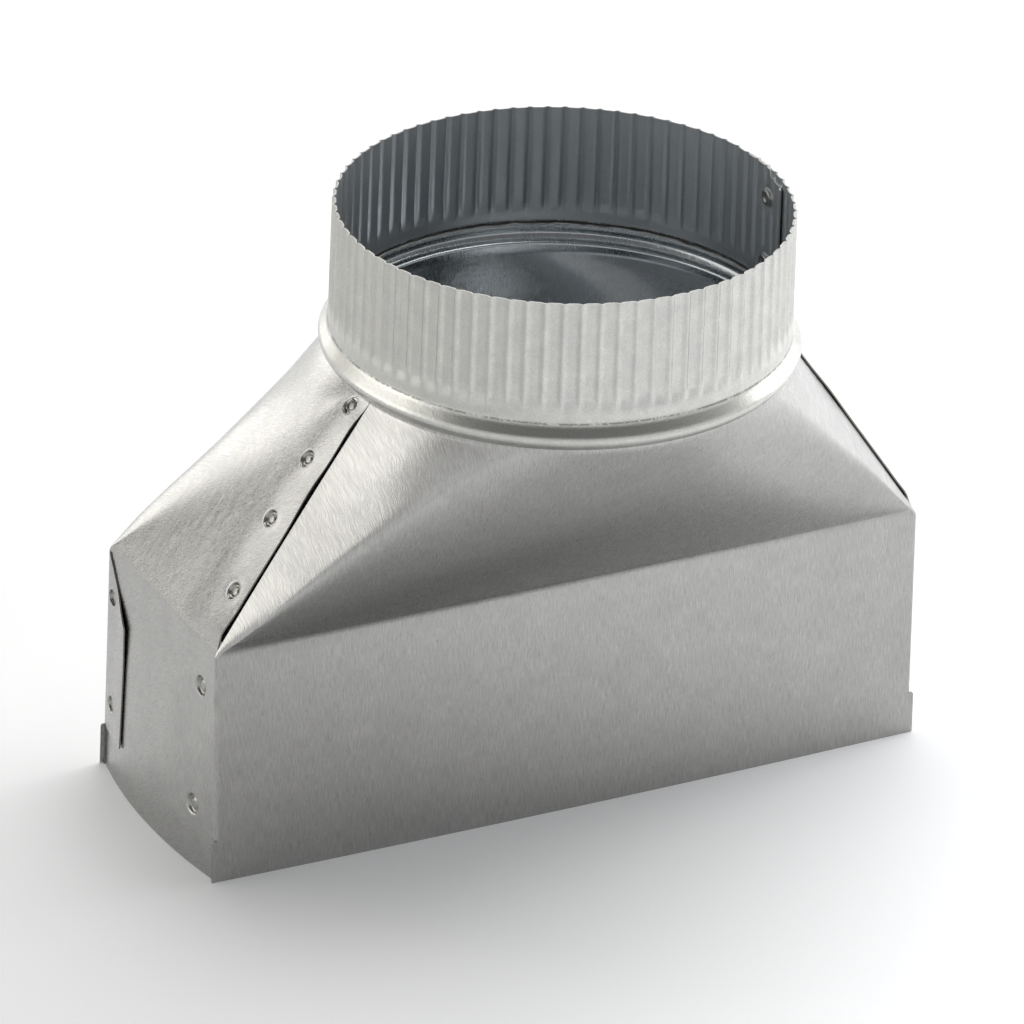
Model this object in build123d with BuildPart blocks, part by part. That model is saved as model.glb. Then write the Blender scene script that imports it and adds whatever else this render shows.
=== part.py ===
from build123d import *
import os
from math import cos, degrees, radians, sin

os.makedirs("parts", exist_ok=True)

# A galvanised duct transition boot: a flat rectangular mouth that opens
# downwards, four straight walls, a bent transition and a round crimped collar.
# +X runs along the mouth, -Y is the side the collar leans over, +Z is up, and
# the origin is the centre of the mouth's open plane. All sizes in millimetres.

# Sheet and laps
sheet = 0.5
lap_gap = 0.05
seam_gap = 0.5
fold_radius = 1.5

# Mouth and straight walls, outside sizes at the corners
mouth_length = 258.0
mouth_width = 89.5
shoulder_length = 258.0
shoulder_width = 84.5
wall_height = 83.0
end_bow = 4.5
side_bow = 1.5

# Round neck, which stands off centre towards -Y
neck_offset = 26.4
neck_radius = 75.0
neck_bottom = 161.0
neck_top = 171.8
seam_angle = 188.5
flat_half_angle = 4.0

# Bead that is rolled through the collar and the neck together
band_radius = 75.9
bead_radius = 79.6
bead_height = 166.6
bead_top = 171.6
bead_bend = 1.6
bead_root_bend = 0.7
collar_bottom = 163.0
collar_bottom_radius = 76.7

# Crimped collar
collar_top = 213.8
crimp_count = 80
crimp_bottom = 175.8
crimp_fade = 4.7
crimp_depth = 1.2
rim_radius = 75.5
ridge_foot = 0.24
ridge_crest = 0.09
crimp_step = 0.03

# Lap of the collar, where its two ends cross near +X
lap_start = -11.0
lap_end = 8.0
lap_tail = 8.0
lap_root = 2.0
lap_overrun = 0.4
lap_drop = 2.6
lap_clinch_angle = -1.5
lap_clinch_heights = [203.2, 179.7]

# Corner flanges of the front and back walls, which lie on the end walls
front_flange = 28.5
front_flange_drop = 20.0
back_tab = 16.5
back_tab_drop = 21.0
flange_top_gap = 2.5
ear_height = 15.0
ear_width = 2.2
ear_chamfer = 1.2

# Strip of the front panel that lies under each end slope
under_flange = 19.0
under_flange_start = 3.0
under_flange_root = 1.2

# Press joints: a round punch mark outside and a button inside
clinch_radius = 2.2
clinch_depth = 0.9
clinch_wall = 0.35
clinch_gap = 0.05
slope_clinches = [(-31.4, 99.0), (-26.5, 119.7), (-24.9, 138.0), (-25.9, 154.5)]
front_flange_clinches = [(-32.0, 67.0), (-30.0, 22.5)]
back_tab_clinches = [(37.6, 65.5), (36.8, 26.0)]

# Sizes that follow from the ones above
lap = sheet + lap_gap
reach = 2 * mouth_length
half_length = shoulder_length / 2
half_width = shoulder_width / 2
splay = (mouth_width - shoulder_width) / 2 / wall_height
slope_run = half_length - neck_radius
slope_rise = neck_bottom - wall_height
cup_radius = clinch_radius + clinch_wall
cup_bottom = clinch_depth + clinch_wall
button_radius = cup_radius + clinch_gap + clinch_wall
button_bottom = cup_bottom + clinch_gap + clinch_wall
neck_lip = neck_bottom + sheet


def around(radius, angle, height):
    """Point on a level circle about the neck's axis."""
    return (radius * cos(radians(angle)), radius * sin(radians(angle)) - neck_offset, height)


def wall_outline(height, length, width, bow_ends, bow_sides, radius):
    """Level cut through the straight walls, with bowed sides and folded corners."""
    x = length / 2
    y = width / 2
    with BuildSketch(Plane.XY.offset(height)) as outline:
        with BuildLine():
            if bow_ends > 0:
                ThreePointArc((-x, y), (-x - bow_ends, 0), (-x, -y))
                ThreePointArc((-x, -y), (0, -y - bow_sides), (x, -y))
                ThreePointArc((x, -y), (x + bow_ends, 0), (x, y))
                ThreePointArc((x, y), (0, y + bow_sides), (-x, y))
            else:
                Polyline((-x, y), (-x, -y), (x, -y), (x, y), close=True)
        make_face()
        fillet(outline.vertices(), radius)
    return outline.sketch


def walls(out_ends, in_sides):
    """Block inside the straight walls, with its ends moved out and its sides moved in."""
    radius = fold_radius - in_sides
    kept_bow = end_bow * (1 - 2 * in_sides / mouth_width) ** 2
    low_length = mouth_length + 2 * (out_ends + end_bow - kept_bow)
    low = wall_outline(0, low_length, mouth_width - 2 * in_sides, kept_bow, side_bow, radius)
    high = wall_outline(
        wall_height, shoulder_length + 2 * out_ends, shoulder_width - 2 * in_sides, 0, 0, radius
    )
    with BuildPart() as block:
        loft([low, high], ruled=True)
    return block.part


def transition(inset):
    """Block inside the transition: four flats and four corner cones, moved in by the inset."""
    x = half_length - inset
    y = half_width - inset
    r = fold_radius - inset
    m = r * (1 - cos(radians(45)))
    z = wall_height
    low = [
        Edge.make_line((-x, y - r, z), (-x, r - y, z)),
        Edge.make_three_point_arc((-x, r - y, z), (m - x, m - y, z), (r - x, -y, z)),
        Edge.make_line((r - x, -y, z), (x - r, -y, z)),
        Edge.make_three_point_arc((x - r, -y, z), (x - m, m - y, z), (x, r - y, z)),
        Edge.make_line((x, r - y, z), (x, y - r, z)),
        Edge.make_three_point_arc((x, y - r, z), (x - m, y - m, z), (x - r, y, z)),
        Edge.make_line((x - r, y, z), (r - x, y, z)),
        Edge.make_three_point_arc((r - x, y, z), (m - x, y - m, z), (-x, y - r, z)),
    ]
    stops = [180.0, seam_angle, 270.0 - flat_half_angle, 270.0 + flat_half_angle, 540.0 - seam_angle]
    stops += [360.0, 450.0 - flat_half_angle, 450.0 + flat_half_angle, 540.0]
    high = []
    for start, end in zip(stops, stops[1:]):
        arc = [around(neck_radius - inset, angle, neck_bottom) for angle in (start, (start + end) / 2, end)]
        high.append(Edge.make_three_point_arc(*arc))
    faces = [Face.make_surface_from_curves(below, above) for below, above in zip(low, high)]
    faces += [Face(Wire(low)), Face(Wire(high))]
    return Solid(Shell(faces))


def transition_skin(outer_inset, inner_inset):
    """Bent sheet of the transition between two depths under its outer surface."""
    with BuildPart() as skin:
        add(transition(outer_inset))
        add(transition(inner_inset), mode=Mode.SUBTRACT)
    return skin.part


def plan_block(points, bottom, top):
    """Upright block over a plan outline."""
    with BuildPart() as block:
        with BuildSketch(Plane.XY.offset(bottom)):
            with BuildLine():
                Polyline(*points, close=True)
            make_face()
        extrude(amount=top - bottom)
    return block.part


def side_block(points):
    """Block that runs the whole length over an outline drawn in y and z."""
    with BuildPart() as block:
        with BuildSketch(Plane.YZ.offset(-reach)):
            with BuildLine():
                Polyline(*points, close=True)
            make_face()
        extrude(amount=2 * reach)
    return block.part


def seam_points(shift):
    """Plan line of both end seams, from shoulder corner to neck and back, moved along y."""
    corner_y = fold_radius - half_width + shift
    neck_x, neck_y, _ = around(neck_radius, seam_angle, neck_bottom)
    return [
        (-reach, corner_y),
        (-half_length, corner_y),
        (neck_x, neck_y + shift),
        (-neck_x, neck_y + shift),
        (half_length, corner_y),
        (reach, corner_y),
    ]


def front_of_seams(shift):
    """Region in front of the two end seams."""
    points = seam_points(shift) + [(reach, -reach), (-reach, -reach)]
    return plan_block(points, wall_height - 1, neck_top + 1)


def seam_strip(back, front, bottom, top):
    """Region along the two end seams, from one shift behind them to another."""
    points = seam_points(back) + seam_points(front)[::-1]
    return plan_block(points, bottom, top)


def slope_place(y, z, side):
    """Plane on the outside of an end slope; side is -1 at the left and 1 at the right."""
    x = half_length - slope_run * (z - wall_height) / slope_rise
    return Plane(origin=(side * x, y, z), z_dir=(side * slope_rise, 0, slope_run))


def end_wall_place(y, z, side):
    """Plane on the outside of a flange that lies on an end wall."""
    half = mouth_width / 2
    fall = 1 - z / wall_height
    bow = end_bow * fall * (1 - (y / half) ** 2)
    slant_y = 2 * end_bow * fall * y / half**2
    slant_z = end_bow * (1 - (y / half) ** 2) / wall_height
    return Plane(origin=(side * (half_length + lap + bow), y, z), z_dir=(side, slant_y, slant_z))


def on_both_ends(place, spots):
    """The same spots on the left and the right end."""
    return [place(y, z, side) for side in (-1, 1) for y, z in spots]


def pegs(places, radius, bottom, top):
    """Short round pegs square to each place, from one height above its plane to another."""
    with BuildPart() as group:
        with Locations(*[place.offset(bottom) for place in places]):
            Cylinder(radius, top - bottom, align=(Align.CENTER, Align.CENTER, Align.MIN))
    return group.part


def rolled_ring(outer, bends):
    """Ring of sheet about the neck's axis, from its outer profile in radius and height."""
    inner = [(radius - sheet, height) for radius, height in outer]
    with BuildPart() as ring:
        with BuildSketch(Plane((0, -neck_offset, 0), x_dir=(1, 0, 0), z_dir=(0, -1, 0))):
            with BuildLine():
                outside = FilletPolyline(*outer, radius=bends)
                inside = FilletPolyline(*inner, radius=bends)
                Line(outside @ 0, inside @ 0)
                Line(outside @ 1, inside @ 1)
            make_face()
        revolve(axis=Axis((0, -neck_offset, 0), (0, 0, 1)))
    return ring.part


def crimp_outline(height, inset, trough, ridge):
    """Level cut through the crimped wall: flat troughs with narrow ridges between them."""
    pitch = 360 / crimp_count
    points = []
    for crimp in range(crimp_count):
        for share, radius in (
            (-ridge_foot, trough),
            (-ridge_crest, ridge),
            (ridge_crest, ridge),
            (ridge_foot, trough),
        ):
            angle = radians(pitch * (crimp + share))
            points.append(((radius - inset) * cos(angle), (radius - inset) * sin(angle)))
    with BuildSketch(Plane((0, -neck_offset, height))) as outline:
        with BuildLine():
            Polyline(*points, close=True)
        make_face()
    return outline.sketch


def crimped_block(inset):
    """Block inside the crimped wall; the crimps run out into the smooth band below."""
    ridge = band_radius - crimp_step
    with BuildPart() as block:
        loft(
            [
                crimp_outline(crimp_bottom, inset, ridge, ridge),
                crimp_outline(crimp_bottom + crimp_fade, inset, ridge - crimp_depth, ridge),
                crimp_outline(collar_top, inset, rim_radius - crimp_depth, rim_radius),
            ],
            ruled=True,
        )
    return block.part


def collar_sector(start, end, bottom, top):
    """Wedge of space about the neck's axis between two angles."""
    with BuildPart() as wedge:
        with BuildSketch(Plane((0, -neck_offset, bottom))):
            with BuildLine():
                first = PolarLine((0, 0), 2 * neck_radius, start)
                last = PolarLine((0, 0), 2 * neck_radius, end)
                Line(first @ 1, last @ 1)
            make_face()
        extrude(amount=top - bottom)
    return wedge.part


# Sheets that the pieces are cut from: the straight walls at two depths and the
# neck, whose top is rolled into the inside of the collar's bead
with BuildPart() as end_wall:
    add(walls(0, 0))
    add(walls(-sheet, 0), mode=Mode.SUBTRACT)

with BuildPart() as folded_wall:
    add(walls(lap, 0))
    add(walls(lap_gap, sheet), mode=Mode.SUBTRACT)

with BuildPart() as neck:
    add(
        rolled_ring(
            [
                (neck_radius, neck_bottom),
                (neck_radius, neck_lip),
                (bead_radius - lap, bead_height),
                (band_radius - lap, bead_top),
                (band_radius - lap, neck_top),
            ],
            (0, bead_bend, 0),
        )
    )

# Where the flanges of the front wall and the tabs of the back wall end, seen
# along x: a slanted top, an upright edge and a level foot above the ears
mouth_edge = mouth_width / 2
fold_inside = sheet + fold_radius
foot_width = half_width + splay * (wall_height - ear_height)
front_outline = [
    (-reach, wall_height),
    (fold_inside - half_width, wall_height),
    (fold_inside - half_width, wall_height - flange_top_gap),
    (front_flange - half_width, wall_height - flange_top_gap - front_flange_drop),
    (front_flange - half_width, ear_height),
    (fold_inside - foot_width, ear_height),
    (fold_inside - mouth_edge, 0),
    (-reach, 0),
]
back_outline = [
    (reach, wall_height),
    (half_width - fold_inside, wall_height),
    (half_width - fold_inside, wall_height - flange_top_gap),
    (half_width - back_tab, wall_height - flange_top_gap - back_tab_drop),
    (half_width - back_tab, ear_height),
    (foot_width - fold_inside, ear_height),
    (mouth_edge - fold_inside, 0),
    (reach, 0),
]
end_outline = [
    (fold_radius - half_width, wall_height),
    (half_width - fold_radius, wall_height),
    (mouth_edge - fold_radius, 0),
    (fold_radius - mouth_edge, 0),
]

# Ears at the mouth's corners, in line with the front and back walls
ear_x = half_length + lap + ear_width
with BuildPart() as ears:
    with BuildSketch(Plane.YZ.offset(-ear_x)):
        with BuildLine():
            Polyline(
                (-mouth_edge, 0),
                (sheet - mouth_edge, 0),
                (sheet - foot_width, ear_height),
                (-foot_width, ear_height),
                close=True,
            )
        make_face()
    extrude(amount=2 * ear_x)
    with BuildSketch(Plane.XZ.offset(-reach)):
        with BuildLine():
            Polyline(
                (-ear_x, 0),
                (ear_x, 0),
                (ear_x, ear_height - ear_chamfer),
                (ear_x - ear_chamfer, ear_height),
                (ear_chamfer - ear_x, ear_height),
                (-ear_x, ear_height - ear_chamfer),
                close=True,
            )
        make_face()
    extrude(amount=2 * reach, mode=Mode.INTERSECT)
    Box(2 * (half_length - fold_radius), reach, reach, mode=Mode.SUBTRACT)

# Front panel: front wall, front half of the transition and neck, the flanges
# that lie on the end walls and the strips that lie under the end slopes
slope_places = on_both_ends(slope_place, slope_clinches)
flange_places = on_both_ends(end_wall_place, front_flange_clinches)
tab_places = on_both_ends(end_wall_place, back_tab_clinches)
strip_top = neck_bottom - lap
strip_bottom = wall_height + under_flange_start
strip = seam_strip(under_flange, -under_flange_root, strip_bottom, strip_top)
strip_root = seam_strip(-seam_gap / 2, -under_flange_root, strip_bottom, strip_top)
with BuildPart() as front_panel:
    add(folded_wall.part)
    add(side_block(front_outline), mode=Mode.INTERSECT)
    add(ears.part & side_block(front_outline))
    add(pegs(flange_places, cup_radius, -cup_bottom, -sheet / 2))
    add(pegs(flange_places, clinch_radius, -clinch_depth, 1), mode=Mode.SUBTRACT)
    add(transition_skin(0, sheet) & front_of_seams(-seam_gap / 2))
    add(neck.part & front_of_seams(-seam_gap / 2))
    add(transition_skin(lap, lap + sheet) & strip)
    add(transition_skin(0, lap + sheet) & strip_root)
    add(pegs(slope_places, button_radius, -button_bottom, -lap - sheet / 2))
    add(pegs(slope_places, cup_radius + clinch_gap, -cup_bottom - clinch_gap, 1), mode=Mode.SUBTRACT)
front_panel.part.label = "front_panel"
export_step(front_panel.part, "parts/front_panel.step")

# Rear wrap: back wall, both end walls, the rest of the transition and neck, and
# the back wall's tabs, which lie on the end walls
with BuildPart() as back_wall:
    add(folded_wall.part)
    add(side_block(back_outline), mode=Mode.INTERSECT)
    add(ears.part.rotate(Axis.Z, 180) & side_block(back_outline))
    add(pegs(tab_places, cup_radius, -cup_bottom, -sheet / 2))
    add(pegs(tab_places, clinch_radius, -clinch_depth, 1), mode=Mode.SUBTRACT)

with BuildPart() as rear_wrap:
    add(end_wall.part)
    add(side_block(end_outline), mode=Mode.INTERSECT)
    add(pegs(flange_places + tab_places, button_radius, -button_bottom, -lap - sheet / 2))
    add(
        pegs(flange_places + tab_places, cup_radius + clinch_gap, -cup_bottom - clinch_gap, 1),
        mode=Mode.SUBTRACT,
    )
    add(back_wall.part)
    add(transition_skin(0, sheet) - front_of_seams(seam_gap / 2))
    add(neck.part - front_of_seams(seam_gap / 2))
    add(pegs(slope_places, cup_radius, -cup_bottom, -sheet / 2))
    add(pegs(slope_places, clinch_radius, -clinch_depth, 1), mode=Mode.SUBTRACT)
rear_wrap.part.label = "rear_wrap"
export_step(rear_wrap.part, "parts/rear_wrap.step")

# Collar: crimped wall, smooth band and the outer layer of the bead, with a lap
# where the inner end of the sheet lies behind the outer one
with BuildPart() as crimped_wall:
    add(crimped_block(0))
    add(crimped_block(sheet - 2 * crimp_step), mode=Mode.SUBTRACT)

lap_clinches = []
for height in lap_clinch_heights:
    x, y, z = around(rim_radius, lap_clinch_angle, height)
    lap_clinches.append(Plane(origin=(x, y, z), z_dir=(x, y + neck_offset, 0)))

# The lap is cut from the crimped wall itself: the inner end is a copy moved in by
# one lap, and past the outer end the single sheet swings back out to full size
lap_middle = radians((lap_start + lap_end) / 2)
inward = Vector(-cos(lap_middle), -sin(lap_middle), 0)
lap_top = collar_top - lap_drop
lap_sector = collar_sector(lap_start, lap_end, crimp_bottom, lap_top)
root_sector = collar_sector(lap_end - lap_root, lap_end, crimp_bottom, lap_top)
tail_sector = collar_sector(lap_end, lap_end + lap_tail, crimp_bottom, collar_top)
swing_sector = collar_sector(lap_end, lap_end + lap_tail + lap_overrun, crimp_bottom, collar_top)
pivot = around(band_radius - sheet / 2, lap_end + lap_tail, 0)
swing = -degrees(lap / (band_radius * radians(lap_tail)))
tail_piece = (crimped_wall.part & swing_sector).rotate(Axis(pivot, (0, 0, 1)), swing)

with BuildPart() as collar:
    add(crimped_wall.part)
    add(tail_sector, mode=Mode.SUBTRACT)
    add(tail_piece)
    add((crimped_wall.part & lap_sector).translate(lap * inward))
    add((crimped_wall.part & root_sector).translate(lap / 2 * inward))
    add(
        rolled_ring(
            [
                (collar_bottom_radius, collar_bottom),
                (bead_radius, bead_height),
                (band_radius, bead_top),
                (band_radius, crimp_bottom),
            ],
            (bead_bend, bead_root_bend),
        )
    )
    add(pegs(lap_clinches, button_radius, -button_bottom, -sheet))
    add(pegs(lap_clinches, clinch_radius, -clinch_depth, 2), mode=Mode.SUBTRACT)
collar.part.label = "collar"
export_step(collar.part, "parts/collar.step")
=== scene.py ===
from math import cos, exp, pi, radians, sin

import bmesh
import bpy
from mathutils import Matrix, Vector, geometry, noise
from mathutils.bvhtree import BVHTree


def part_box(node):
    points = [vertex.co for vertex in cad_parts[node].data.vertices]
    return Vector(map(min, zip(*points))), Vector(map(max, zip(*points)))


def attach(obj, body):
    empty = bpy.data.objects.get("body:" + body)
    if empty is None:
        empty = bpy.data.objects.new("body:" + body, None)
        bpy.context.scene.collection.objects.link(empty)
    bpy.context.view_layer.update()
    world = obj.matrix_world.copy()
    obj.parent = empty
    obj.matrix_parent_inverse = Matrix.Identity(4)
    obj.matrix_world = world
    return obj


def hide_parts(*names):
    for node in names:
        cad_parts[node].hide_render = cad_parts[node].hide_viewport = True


# A galvanised duct transition boot, dressed piece by piece in the order it is put
# together. Lengths are in millimetres until a mesh is made, and in metres in the
# materials, the floor and the lamps. Angles are in degrees.
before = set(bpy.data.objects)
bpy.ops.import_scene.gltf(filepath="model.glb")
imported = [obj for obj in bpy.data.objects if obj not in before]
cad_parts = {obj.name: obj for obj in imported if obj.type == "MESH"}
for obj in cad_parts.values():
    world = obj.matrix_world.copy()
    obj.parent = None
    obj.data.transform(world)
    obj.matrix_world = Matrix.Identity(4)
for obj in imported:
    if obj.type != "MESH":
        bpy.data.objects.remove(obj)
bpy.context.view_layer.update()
mm = 0.001

# Front panel: one cut and bent sheet of bright galvanised steel. It is the front
# wall and the front half of the transition and of the drawn neck. Its flanges fold
# round onto the end walls and two strips run under the end slopes.
sheet = 0.5
lap = 0.55
fold_radius = 1.5
half_length = 129.0
mouth_half = 44.75
shoulder_half = 42.25
wall_height = 83.0
end_bow = 4.5
side_bow = 1.5
shoulder_bend = 1.4
shoulder_steps = 5
rise_steps = 40
foot_steps = 4

collar_low, collar_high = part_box("collar")
neck_y = (collar_low.y + collar_high.y) / 2 / mm
neck_radius = 75.0
neck_height = 161.0
foot_bend = 0.8
neck_turn = 163.7
neck_turn_bend = 0.6
shelf_radius = 77.0
shelf_rise = 0.4
bead_inner = 79.15
bead_height = 166.6
lip_radius = 75.35
lip_foot = 171.3
lip_top = 171.7
neck_steps = 4
crest_steps = 8
bend_share = 0.35
crest_share = 0.3
lip_share = 0.8
lip_raggedness = 0.9
lip_ragged_height = 0.6
lip_waves = 14
lip_nicks = 45
lip_nick_share = 0.6

seam_angle = 188.5
crease_angle = 228.6
facet_end = 0.55
long_crown = 2.6
end_crown = 0.5
slope_crown = 1.3
strip_start = 86.0
strip_sinks = [(0.35, 0.4), (0.9, 1.4), (2.4, 1.1), (4.5, lap)]
strip_flat_from = 7.0
strip_width = 19.0
strip_steps = 6
front_slope_stretch = 1.25

front_flange = 28.5
flange_drop = 20.0
flange_gap = 2.5
ear_height = 15.0
flange_stand_off = 0.6
flange_flat_share = 0.6
stand_off_foot = 38.0
ear_width = 1.0
ear_chamfer = 0.5
ear_rows = 6
wall_rows = 26
waviness = 0.3
wave_length = 75.0
merge_distance = 0.0005
sharp_angle = 38.0
corner_steps = 30
long_steps = 72
crease_passes = 14
crease_low, crease_full, crease_fade, crease_high = 6, 24, 34, 45

slope_joints = [(-32.2, 99.0), (-28.4, 120.4), (-27.6, 139.2), (-30.4, 157.6)]
flange_joints = [(-32.0, 67.0), (-30.0, 22.5)]
joint_sides = 32
joint_wall = 2.6
joint_clearance = 0.25
joint_margin = 0.35
least_squeeze = 0.1
same_point = 1e-6
wide_joint = 1.22
joint_rings = [
    (5.2, 0.0),
    (4.2, -0.06),
    (3.5, -0.1),
    (3.05, -0.04),
    (2.8, 0.14),
    (2.6, 0.45),
    (2.45, 0.9),
    (2.25, 1.12),
    (1.95, 1.15),
    (1.7, 1.05),
    (1.5, 0.7),
    (1.25, 0.55),
    (0.7, 0.5),
]


def soft_step(value, start, end):
    """How far value is from start to end, from 0 to 1, with a soft start and finish."""
    t = min(1, max(0, (value - start) / (end - start)))
    return t * t * (3 - 2 * t)


def spaced(start, end, count):
    """Evenly spaced values, both ends included."""
    return [start + (end - start) * i / count for i in range(count + 1)]


def bend(start, corner, end, steps):
    """Points of a soft bend from start to end, rounding off the corner between them."""
    return [start.lerp(corner, t).lerp(corner.lerp(end, t), t) for t in spaced(0, 1, steps)]


def wall_half(z):
    """Half the width over the front and back walls at a height."""
    return mouth_half + (shoulder_half - mouth_half) * z / wall_height


def bowed(x, y, z):
    """Point of the straight walls, which are bellied outwards at the mouth."""
    fall = 1 - z / wall_height
    ends = max(0, 1 - (y / wall_half(z)) ** 2) * end_bow * fall
    sides = max(0, 1 - (x / half_length) ** 2) * side_bow * fall
    return Vector((x + ends * (1 if x > 0 else -1), y + sides * (1 if y > 0 else -1), z))


def fold_place(side_x, side_y, turn, out):
    """Line up a wall's corner fold; turn is 0 on the end wall and 1 on the long wall."""
    across = half_length + out - fold_radius * (1 - cos(turn * pi / 2))
    inset = fold_radius * (1 - sin(turn * pi / 2))
    return lambda z: bowed(side_x * across, side_y * (wall_half(z) - inset), z)


def long_wall_place(x, side_y):
    """Line up the front wall, at side_y -1, or the back wall, at 1."""
    return lambda z: bowed(x, side_y * wall_half(z), z)


def end_wall_place(side_x, share):
    """Line up an end wall; share runs from -1 at the front fold to 1 at the back fold."""
    return lambda z: bowed(side_x * half_length, share * (wall_half(z) - fold_radius), z)


def neck_point(angle, radius=neck_radius, z=neck_height):
    """Point on a level circle about the neck's axis."""
    return Vector((radius * cos(radians(angle)), neck_y + radius * sin(radians(angle)), z))


def neck_profile():
    """Radius and height up the neck, from its foot over the bead to the lip inside the collar."""
    turn = Vector((neck_radius, 0, neck_turn))
    shelf = Vector((shelf_radius, 0, neck_turn + shelf_rise))
    crest = Vector((bead_inner, 0, bead_height))
    lip = Vector((lip_radius, 0, lip_foot))
    below = turn - Vector((0, 0, neck_turn_bend))
    points = bend(below, turn, turn.lerp(shelf, bend_share), neck_steps)
    points += bend(turn.lerp(shelf, 1 - bend_share), shelf, shelf.lerp(crest, bend_share), neck_steps)
    points += bend(shelf.lerp(crest, 0.5), crest, crest.lerp(lip, crest_share), crest_steps)
    points += bend(crest.lerp(lip, lip_share), lip, Vector((lip_radius, 0, lip_top)), neck_steps)
    return [(p.x, p.z) for p in points]


def belly(shoulder, neck, angle, crown, rise):
    """How far the bent sheet bellies out of the straight line from a shoulder to the neck."""
    around = Vector((cos(radians(angle)), sin(radians(angle)), 0))
    run = (neck - shoulder).normalized()
    return (around - run * around.dot(run)).normalized() * crown * 4 * rise * (1 - rise)


def sheet_line(place, out_place, angle, crown, chord=None):
    """Points up the sheet, from the top of a wall over the transition to the neck's lip."""
    shoulder = place(wall_height)
    neck = neck_point(angle)
    target = chord or neck
    reach = (target - shoulder).length
    away = shoulder.lerp(target, shoulder_bend / reach)
    points = bend(out_place(wall_height - shoulder_bend), shoulder, away, shoulder_steps)
    for rise in spaced(shoulder_bend / reach, 1 - foot_bend / reach, rise_steps)[1:]:
        point = shoulder.lerp(target.lerp(neck, soft_step(rise, facet_end, 1)), rise)
        points.append(point + belly(shoulder, neck, angle, crown, rise))
    points += bend(points[-1], neck, neck + Vector((0, 0, foot_bend)), foot_steps)[1:]
    around = Vector((cos(radians(angle)), sin(radians(angle)), 0))
    ragged = noise.noise(around * lip_waves) + lip_nick_share * noise.noise(around * lip_nicks)
    for radius, z in neck_profile():
        near_top = soft_step(z, lip_foot - lip_ragged_height, lip_top)
        drop = lip_raggedness * (0.5 - 0.5 * ragged) * near_top
        points.append(neck_point(angle, radius, z - drop))
    return points


def corner_lines(side_x, side_y, start, end):
    """Lines up a flat corner facet, which fan out from a wall fold to an arc of the neck."""
    lines = []
    for t in spaced(0, 1, corner_steps):
        turn = t if side_x * side_y > 0 else 1 - t
        crown = end_crown + (long_crown - end_crown) * turn
        chord = neck_point(start).lerp(neck_point(end), t)
        inner = fold_place(side_x, side_y, turn, 0)
        outer = fold_place(side_x, side_y, turn, lap)
        lines.append(sheet_line(inner, outer, start + (end - start) * t, crown, chord))
    return lines


def long_lines(side_y, start, end):
    """Lines up the curved sheet above the front or back wall, which twists round to the neck."""
    reach = side_y * (fold_radius - half_length)
    lines = []
    for t in spaced(0, 1, long_steps):
        place = long_wall_place(-reach + 2 * reach * t, side_y)
        lines.append(sheet_line(place, place, start + (end - start) * t, long_crown))
    return lines


def ease_creases(lines, passes):
    """Softens the creases of the bent sheet half way up, where the metal was never pressed sharp."""
    for _ in range(passes):
        eased = []
        for before, line, after in zip(lines, lines[1:], lines[2:]):
            eased.append(list(line))
            for row in range(crease_low, crease_high):
                share = 0.5 * soft_step(row, crease_low, crease_full)
                share *= 1 - soft_step(row, crease_fade, crease_high)
                eased[-1][row] = line[row].lerp((before[row] + after[row]) / 2, share)
        lines = [lines[0]] + eased + [lines[-1]]
    return lines


def slope_crowning(back):
    """How far an end slope bellies out half way up, from the seam, back 0, to the fold, back 1."""
    return end_crown + slope_crown * sin(pi * back)


def slope_rise(z):
    """Share of the way up from the shoulder to the neck, at a height."""
    return (z - wall_height) / (neck_height - wall_height)


def slope_outward(side):
    """Which way an end slope faces."""
    return Vector((side * (neck_height - wall_height), 0, half_length - neck_radius)).normalized()


def slope_point(side, back, rise, out):
    """Point of an end slope, from the seam, back 0, to the fold behind, back 1, lifted by out."""
    y = (shoulder_half - fold_radius) * (2 * back - 1)
    angle = 180 + (seam_angle - 180) * (1 - back)
    neck = neck_point(angle)
    low = Vector((-half_length, y, wall_height))
    point = low.lerp(neck, rise) + belly(low, neck, angle, slope_crowning(back), rise)
    point += slope_outward(-1) * out
    return Vector((-side * point.x, point.y, point.z))


def slope_width(rise):
    """How wide an end slope is from its seam to the fold behind it."""
    return slope_point(-1, 1, rise, 0).y - slope_point(-1, 0, rise, 0).y


def slope_joint_spot(side, y, z, out):
    """Where a press joint of an end slope is, lifted by out."""
    rise = slope_rise(z)
    back = (y - slope_point(side, 0, rise, 0).y) / slope_width(rise)
    return slope_point(side, back, rise, out)


def new_sheet():
    """Empty mesh that can carry the sheet's grain map and how deep each point is pressed."""
    bm = bmesh.new()
    bm.verts.layers.float.new("pressed")
    bm.loops.layers.uv.new("grain")
    return bm


def lay(bm, lines):
    """Adds a sheet to a mesh from lines of points that run up it and follow each other anticlockwise."""
    verts = [[bm.verts.new(p * mm) for p in line] for line in lines]
    faces = []
    for left, right in zip(verts, verts[1:]):
        for a, b, c, d in zip(left, right, right[1:], left[1:]):
            faces.append(bm.faces.new((a, b, c, d)))
    return faces


def each_once(items):
    """The items without repeats, in the order they come, so that every run makes the same mesh."""
    return list(dict.fromkeys(items))


def fitted_rings(size, room):
    """Rings of a joint and how far the outer ones are drawn in where there is little room."""
    squeeze = min(1, max(least_squeeze, room / (joint_rings[0][0] - joint_wall)))
    rings = []
    for radius, depth in joint_rings:
        if radius > joint_wall:
            radius = joint_wall + (radius - joint_wall) * squeeze
        rings.append((size * radius, depth))
    return rings, squeeze


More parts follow.
